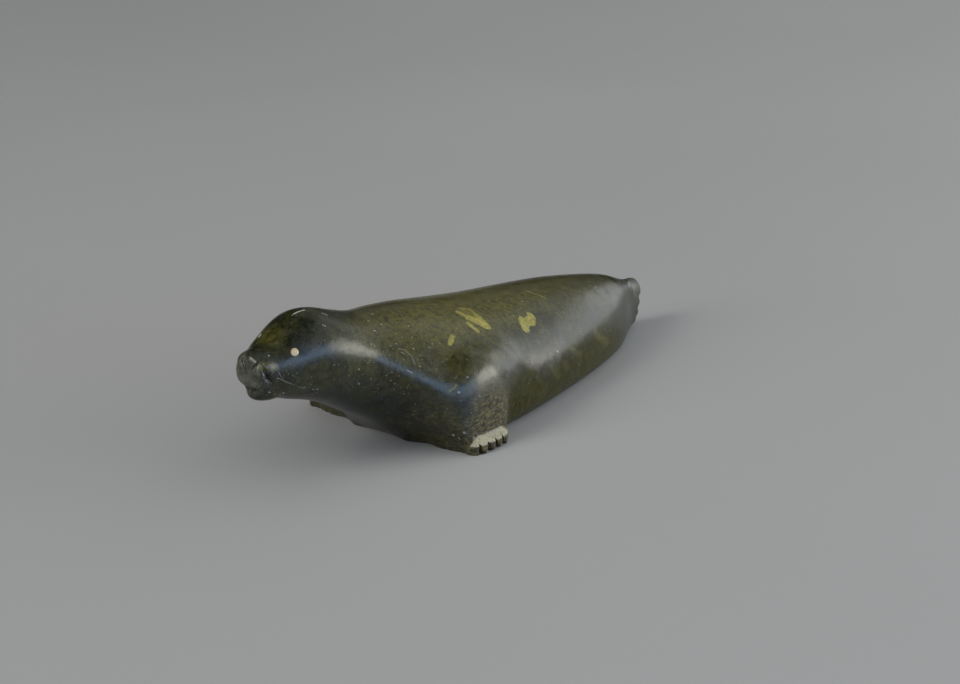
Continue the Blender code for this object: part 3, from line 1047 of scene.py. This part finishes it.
@dataclass
class CarvedBody:
    """The seal's body, carved from one stone.

    Attributes:
        eyes: The eyes, whose seats are cut into the body.
        node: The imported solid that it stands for.
        cell: The size of the cells that the skin is relaid with.
        rubs: Rounds of rubbing.
        blends: Further rounds on the shoulders, which run softly into neck and flanks.
        undercut: How deep the chest is cut back beside the brisket, above the table.
        stopper_room: How much wider the stopper is than the peg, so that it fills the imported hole.
        stopper_depth: How deep the stopper goes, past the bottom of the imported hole.
        stopper_sunk: How far the stopper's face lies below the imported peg's face.
        seat_depth: How deep the new eye seat goes.
        seat_clear: How far the seat's cutter stands out, clear of the skin.
        claw_gaps: Distances back from the nose of the gaps between the claws, in millimetres.
        gouge: The radius of the gouge that parts the claws.
        gouge_reach: How far in the gouge cuts, as a multiple of its radius.
        crease_angle: The angle in degrees past which an edge stays sharp.
    """

    eyes: tuple[Eye, Eye]
    node: str = "seal_body"
    cell: float = 0.44 * MM
    rubs: int = 27
    blends: int = 165
    undercut: float = 3.0 * MM
    stopper_room: float = 0.45 * MM
    stopper_depth: float = 2.6 * MM
    stopper_sunk: float = 0.12 * MM
    seat_depth: float = 2.0 * MM
    seat_clear: float = 1.0 * MM
    claw_gaps: tuple[float, ...] = (46.7, 49.2, 51.9, 54.4)
    gouge: float = 0.55 * MM
    gouge_reach: float = 4.8
    crease_angle: float = 42.0

    def rough_out(self) -> bpy.types.Object:
        """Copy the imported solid, weld it and stop its eye holes.

        Returns:
            The rough body.
        """
        body = bpy.data.objects.new("carved_seal", bpy.data.objects[self.node].data.copy())
        bpy.context.scene.collection.objects.link(body)
        take_up(body)
        bpy.ops.object.mode_set(mode="EDIT")
        bpy.ops.mesh.select_all(action="SELECT")
        bpy.ops.mesh.remove_doubles(threshold=MERGE_DISTANCE)
        bpy.ops.object.mode_set(mode="OBJECT")
        for eye in self.eyes:
            radius = eye.radius + self.stopper_room
            stopper = eye.rod("stopper", radius, self.stopper_depth, -self.stopper_sunk)
            self.work(body, stopper, "UNION")
        return body

    def work(self, body: bpy.types.Object, tool: bpy.types.Object, operation: str) -> None:
        """Join a tool to the body or cut the body with it, and put the tool away.

        Args:
            body: The body.
            tool: The tool, which is removed.
            operation: UNION or DIFFERENCE.
        """
        step = body.modifiers.new("Work", "BOOLEAN")
        step.operation = operation
        step.solver = "EXACT"
        step.object = tool
        apply_all(body)
        bpy.data.objects.remove(tool)

    def true_up(self, body: bpy.types.Object) -> None:
        """Relay the skin in small cells, ease the line of the back and cut in under the chest.

        Args:
            body: The body.
        """
        relay = body.modifiers.new("Relay", "REMESH")
        relay.mode = "VOXEL"
        relay.voxel_size = self.cell
        apply_all(body)
        backs, lifts = zip(*BACK_LIFTS)
        for vertex in body.data.vertices:
            place = vertex.co / MM
            lift = float(np.interp(place.x + NOSE_TO_MIDDLE, backs, lifts))
            vertex.co.z += lift * MM * ease((place.z - 8.0) / 14.0)
            vertex.co.x += self.undercut * self.undercut_share(place)

    def undercut_share(self, place: Vector) -> float:
        """Find how far a point is cut back beside the brisket, where the chest meets the table.

        Args:
            place: The point in scene coordinates, in millimetres.

        Returns:
            The share of the full undercut, from 0 to 1.
        """
        back = place.x + NOSE_TO_MIDDLE
        out = abs(place.y)
        along = ease((back - 30.0) / 6.0) * (1.0 - ease((back - 40.0) / 9.0))
        low = 1.0 - ease(place.z / 9.0)
        return along * low * ease((out - 7.0) / 6.0) * (1.0 - ease((out - 22.0) / 3.0))

    def rub(self, body: bpy.types.Object) -> None:
        """Rub the skin smooth, least where the carving is fine.

        Args:
            body: The body.
        """
        for name, share, rounds in (("rub", self.softness, self.rubs), ("blend", self.blending, self.blends)):
            group = body.vertex_groups.new(name=name)
            for vertex in body.data.vertices:
                group.add([vertex.index], share(vertex.co / MM), "REPLACE")
            for _ in range(3):
                smooth = body.modifiers.new("Rub", "SMOOTH")
                smooth.factor = 0.5
                smooth.iterations = rounds // 3
                smooth.vertex_group = name
        apply_all(body)
        body.vertex_groups.clear()

    def blending(self, place: Vector) -> float:
        """Find how much a point belongs to the soft run of the shoulder into neck and flank.

        Args:
            place: The point in scene coordinates, in millimetres.

        Returns:
            The share, from 0 to 1.
        """
        back = place.x + NOSE_TO_MIDDLE
        along = ease((back - 28.0) / 12.0) * ease((92.0 - back) / 14.0)
        return along * ease((place.z - 6.0) / 6.0) * ease((abs(place.y) - 3.0) / 6.0)

    def softness(self, place: Vector) -> float:
        """Find how much a point is rubbed: fully on the body, less on muzzle, flippers and fin.

        Args:
            place: The point in scene coordinates, in millimetres.

        Returns:
            The share, from 0 to 1.
        """
        back = place.x + NOSE_TO_MIDDLE
        soft = 1.0
        if back < 9.0:
            soft = 0.22 + 0.78 * max(0.0, (back - 5.0) / 4.0)
        if back > 136.0:
            soft = 0.35
        if 41.0 < back < 62.0 and place.z < 5.0 and abs(place.y) > 15.0:
            soft = min(soft, 0.10 + 0.9 * max(0.0, place.z - 4.0))
        return soft

    def carve(self, body: bpy.types.Object, cut: Cut, side: Side) -> None:
        """Carve one line into the skin.

        Args:
            body: The body.
            cut: The line.
            side: The side that its places are counted on.
        """
        steps = 6
        points = []
        for start, end in zip(cut.places, cut.places[1:]):
            for step in range(steps):
                points.append(spot(start, side).lerp(spot(end, side), step / steps))
        points.append(spot(cut.places[-1], side))
        drop_selection()
        bpy.ops.curve.primitive_nurbs_path_add()
        worm = bpy.context.active_object
        worm.location = (0.0, 0.0, 0.0)
        curve = worm.data
        curve.splines.clear()
        curve.bevel_depth = cut.width * MM / 2
        curve.bevel_resolution = 3
        curve.use_fill_caps = True
        line = curve.splines.new("POLY")
        last = len(points) - 1
        line.points.add(last)
        for index, point in enumerate(points):
            skin = body.closest_point_on_mesh(point)[1]
            line.points[index].co = (*skin, 1.0)
            line.points[index].radius = min(1.0, 0.25 + 2.6 * min(index, last - index) / last)
        take_up(worm)
        bpy.ops.object.convert(target="MESH")
        worm = bpy.context.active_object
        bpy.ops.object.mode_set(mode="EDIT")
        bpy.ops.mesh.select_all(action="SELECT")
        bpy.ops.mesh.remove_doubles(threshold=MERGE_DISTANCE)
        bpy.ops.mesh.normals_make_consistent(inside=False)
        bpy.ops.object.mode_set(mode="OBJECT")
        self.work(body, worm, "DIFFERENCE")

    def part_claws(self, body: bpy.types.Object, side: Side) -> None:
        """Cut the gaps between the claws of one fore flipper.

        Args:
            body: The body.
            side: The side of the flipper.
        """
        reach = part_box(self.node)[1].y
        for back in self.claw_gaps:
            drop_selection()
            bpy.ops.mesh.primitive_cylinder_add(
                vertices=24,
                radius=self.gouge,
                depth=4.0 * MM,
                location=(spot((back, 0.0, 0.0)).x, side.value * (reach + self.gouge), 0.0),
                rotation=(math.radians(90), 0.0, 0.0),
            )
            gouge = bpy.context.active_object
            gouge.scale = (1.0, self.gouge_reach, 1.0)
            settle(gouge)
            self.work(body, gouge, "DIFFERENCE")

    def build(self, finish: StoneFinish) -> bpy.types.Object:
        """Carve the body.

        Args:
            finish: The stone.

        Returns:
            The finished body.
        """
        body = self.rough_out()
        self.true_up(body)
        self.rub(body)
        LOG.info("rubbed: %d triangles", triangles(body))
        for cut in FACE_CUTS:
            for side in Side:
                if cut.both or side is Side.RIGHT:
                    self.carve(body, cut, side)
        for side in Side:
            self.part_claws(body, side)
        for eye in self.eyes:
            seat = eye.rod("seat", eye.radius + eye.play, self.seat_depth, self.seat_clear)
            self.work(body, seat, "DIFFERENCE")
        take_up(body)
        bpy.ops.object.shade_smooth_by_angle(angle=math.radians(self.crease_angle))
        body.data.materials.clear()
        body.data.materials.append(finish.material(body))
        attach(body, "root")
        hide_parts(self.node)
        LOG.info("%s: %d triangles", body.name, triangles(body))
        return body


@dataclass(frozen=True)
class Softbox:
    """A soft lamp, placed by where it stands around the seal.

    Attributes:
        name: The lamp's name.
        azimuth: Its direction in degrees, 0 towards -Y and 90 towards +X.
        elevation: Its height in degrees.
        wide: Its width in degrees, as the seal sees it.
        tall: Its height in degrees, as the seal sees it.
        level: Its brightness, 1 being that of white paper in the studio.
        colour: Its tint.
        mirrored: Whether polished surfaces mirror it.
        away: Its distance.
    """

    name: str
    azimuth: float
    elevation: float
    wide: float
    tall: float
    level: float
    colour: Place
    mirrored: bool = True
    away: float = 1.2

    def build(self) -> None:
        """Hang the lamp."""
        way = heading(self.azimuth, self.elevation)
        lamp = bpy.data.lights.new(self.name, "AREA")
        lamp.shape = "RECTANGLE"
        lamp.size = 2 * self.away * math.tan(math.radians(self.wide / 2))
        lamp.size_y = 2 * self.away * math.tan(math.radians(self.tall / 2))
        lamp.energy = self.level * math.pi * lamp.size * lamp.size_y
        lamp.color = self.colour
        holder = bpy.data.objects.new(self.name, lamp)
        holder.location = way * self.away
        holder.rotation_euler = way.to_track_quat("Z", "Y").to_euler()
        holder.visible_glossy = self.mirrored
        bpy.context.scene.collection.objects.link(holder)


@dataclass(frozen=True)
class Studio:
    """The table, the lamps, the room's tone and the camera.

    Attributes:
        azimuth: The camera's direction from the seal, in degrees.
        elevation: The camera's height, in degrees.
        distance: How far it stands from its target.
        target: The point on the table that it looks at.
        lens: The focal length in millimetres.
        film: The width of the frame behind it, in millimetres.
        table: The tone of the table.
        room: The tone of the room, as it lights the seal.
        tent: The black of the tent's cloth.
        fold: The black of its folds.
        table_size: The length and width of the table.
        tent_radius: The radius of the tent, just inside the edge of the table.
        lamps: The lamps and bright walls.
    """

    azimuth: float = -50.87
    elevation: float = 19.22
    distance: float = 0.530
    target: Place = (0.0345, 0.02298, 0.0)
    lens: float = 75.0
    film: float = 36.0
    table: Colour = (0.365, 0.37, 0.375, 1.0)
    room: Colour = (0.045, 0.048, 0.05, 1.0)
    tent: Colour = (0.030, 0.030, 0.032, 1.0)
    fold: Colour = (0.015, 0.015, 0.016, 1.0)
    table_size: float = 8.0
    tent_radius: float = 3.95
    lamps: tuple[Softbox, ...] = (
        Softbox("key", -108.0, 38.0, 20.0, 20.0, 10.0, (1.0, 0.98, 0.95), False, 3.0),
        Softbox("side_window", -104.0, 19.0, 28.0, 18.0, 6.0, (1.0, 1.0, 0.92)),
        Softbox("ceiling", 20.0, 82.0, 70.0, 70.0, 0.71, (1.0, 1.0, 1.0), False, 2.6),
        Softbox("window", 44.0, 8.0, 36.0, 24.0, 5.0, (1.0, 0.96, 0.85)),
        Softbox("pale_wall", 61.0, 9.0, 70.0, 32.0, 1.8, (0.95, 0.98, 1.0)),
        Softbox("sky_window", 0.0, 8.0, 46.0, 20.0, 3.8, (0.42, 0.62, 1.0)),
        Softbox("upper_wall", 56.0, 40.0, 76.0, 28.0, 0.55, (0.98, 1.0, 0.98)),
        Softbox("dim_wall", 114.0, 36.0, 40.0, 44.0, 0.20, (1.0, 1.0, 0.85)),
        Softbox("far_wall", -6.0, 36.0, 48.0, 32.0, 0.30, (1.0, 1.0, 0.92)),
    )

    def lay_table(self) -> bpy.types.Object:
        """Lay the table top.

        Returns:
            The table top.
        """
        drop_selection()
        bpy.ops.mesh.primitive_plane_add(size=self.table_size, location=(0.0, 0.0, 0.0))
        table = bpy.context.active_object
        table.name = "table_top"
        settle(table)
        sheet = Sheet("table_paint")
        tone = sheet.fade(sheet.noise(0.004, 2.0), 0.3, 0.7)
        darker = tuple(part * 0.965 for part in self.table[:3]) + (1.0,)
        sheet.feed(sheet.shader.inputs["Base Color"], sheet.mix(tone, darker, self.table))
        sheet.shader.inputs["Roughness"].default_value = 0.55
        sheet.shader.inputs["Specular IOR Level"].default_value = 0.25
        table.data.materials.append(sheet.material)
        return table

    def hang_tent(self) -> bpy.types.Object:
        """Hang a black tent round the seal, which is seen only where something mirrors it.

        Returns:
            The tent.
        """
        drop_selection()
        bpy.ops.mesh.primitive_uv_sphere_add(segments=48, ring_count=24, radius=self.tent_radius)
        tent = bpy.context.active_object
        tent.name = "black_tent"
        settle(tent)
        sheet = Sheet("tent_cloth")
        folds = sheet.fade(sheet.noise(0.002, 3.0), 0.35, 0.65)
        sheet.feed(sheet.shader.inputs["Base Color"], sheet.mix(folds, self.tent, self.fold))
        sheet.shader.inputs["Roughness"].default_value = 0.95
        sheet.shader.inputs["Specular IOR Level"].default_value = 0.0
        tent.data.materials.append(sheet.material)
        tent.visible_camera = False
        tent.visible_diffuse = False
        tent.visible_transmission = False
        tent.visible_shadow = False
        return tent

    def tint_room(self) -> None:
        """Give the room a dim tone, and a pale one where the eye looks past the table."""
        world = bpy.data.worlds.new("room")
        bpy.context.scene.world = world
        world.use_nodes = True
        tree = world.node_tree
        background = tree.nodes["Background"]
        path = tree.nodes.new("ShaderNodeLightPath")
        seen = path.outputs["Is Camera Ray"]
        for kind in ("Is Glossy Ray", "Is Transmission Ray"):
            either = tree.nodes.new("ShaderNodeMath")
            either.operation = "MAXIMUM"
            tree.links.new(seen, either.inputs[0])
            tree.links.new(path.outputs[kind], either.inputs[1])
            seen = either.outputs[0]
        mix = tree.nodes.new("ShaderNodeMix")
        mix.data_type = "RGBA"
        mix.inputs[6].default_value = self.room
        mix.inputs[7].default_value = self.table
        tree.links.new(seen, mix.inputs["Factor"])
        tree.links.new(mix.outputs[2], background.inputs["Color"])

    def place_camera(self) -> None:
        """Stand the camera where the photograph was taken from."""
        back = heading(self.azimuth, self.elevation)
        lens = bpy.data.cameras.new("camera")
        lens.lens = self.lens
        lens.sensor_width = self.film
        lens.clip_start = 0.01
        camera = bpy.data.objects.new("camera", lens)
        camera.location = Vector(self.target) + back * self.distance
        camera.rotation_euler = back.to_track_quat("Z", "Y").to_euler()
        bpy.context.scene.collection.objects.link(camera)
        bpy.context.scene.camera = camera

    def build(self) -> None:
        """Set up the studio."""
        self.lay_table()
        self.hang_tent()
        self.tint_room()
        self.place_camera()
        for lamp in self.lamps:
            lamp.build()
        bpy.context.scene.view_settings.view_transform = "Standard"


def main() -> None:
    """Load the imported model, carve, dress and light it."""
    logging.basicConfig(level=logging.INFO, format="%(name)s: %(message)s")
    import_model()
    eyes = (Eye(Side.LEFT, "left_eye"), Eye(Side.RIGHT, "right_eye"))
    CarvedBody(eyes).build(StoneFinish())
    bone = BoneFinish().material()
    for eye in eyes:
        eye.build(bone)
    Studio().build()


if __name__ == "__main__":
    main()
